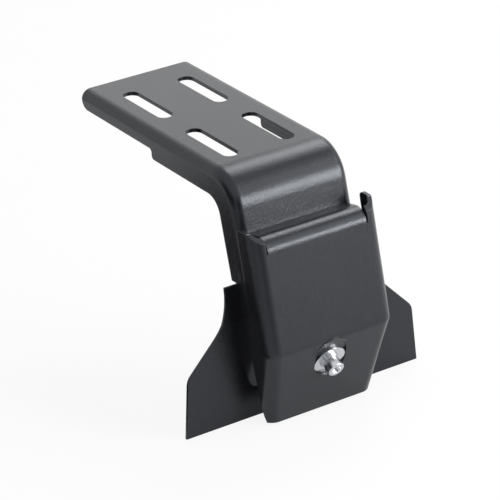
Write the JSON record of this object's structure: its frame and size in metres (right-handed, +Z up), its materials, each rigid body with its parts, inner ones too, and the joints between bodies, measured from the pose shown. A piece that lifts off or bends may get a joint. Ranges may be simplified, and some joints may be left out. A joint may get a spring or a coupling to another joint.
{
  "type": "roof rack gutter mount",
  "caption": "Pressed steel roof rack bracket with a slotted top plate, a bent leg on a wide gutter foot, and a screw-closed clamping jaw in front.",
  "frame": {"origin": "middle of the foot plate's bottom edge, where it stands in the gutter", "axes": "+Z up, +X outboard from the vehicle toward the jaw, +Y along the vehicle; the slotted plate reaches inboard along -X"},
  "size_m": [0.2055, 0.1592, 0.146],
  "materials": {
    "black_coat": "satin black powder coat",
    "zinc_plate": "bright zinc plating"
  },
  "bodies": {
    "leg": {"leg_channel": "black_coat", "foot_plate": "black_coat", "weld_beads": "black_coat", "weld_nut": "black_coat"},
    "jaw": {"clamp_jaw": "black_coat"},
    "washers": {"flat_washer": "zinc_plate", "spring_washer": "zinc_plate"},
    "screw": {"clamp_screw": "zinc_plate"}
  },
  "joints": [
    {"name": "washer_travel", "type": "slide", "parent": "leg", "child": "washers", "axis": [-0.8988, 0, 0.4384], "range_m": [0, 0.003]},
    {"name": "screw_turn", "type": "hinge", "parent": "washers", "child": "screw", "pos_m": [0.0129, 0, 0.04349], "axis": [-0.8988, 0, 0.4384], "range_deg": [0, 1080]},
    {"name": "jaw_swing", "type": "hinge", "parent": "leg", "child": "jaw", "pos_m": [0.00045, 0, 0.11288], "axis": [0, 1, 0], "range_deg": [0, 3.82]}
  ],
  "couplings": [
    {"joint": "washer_travel", "follows": "jaw_swing", "m_per_rad": 0.0449},
    {"joint": "screw_turn", "follows": "jaw_swing", "ratio": 282.12}
  ]
}
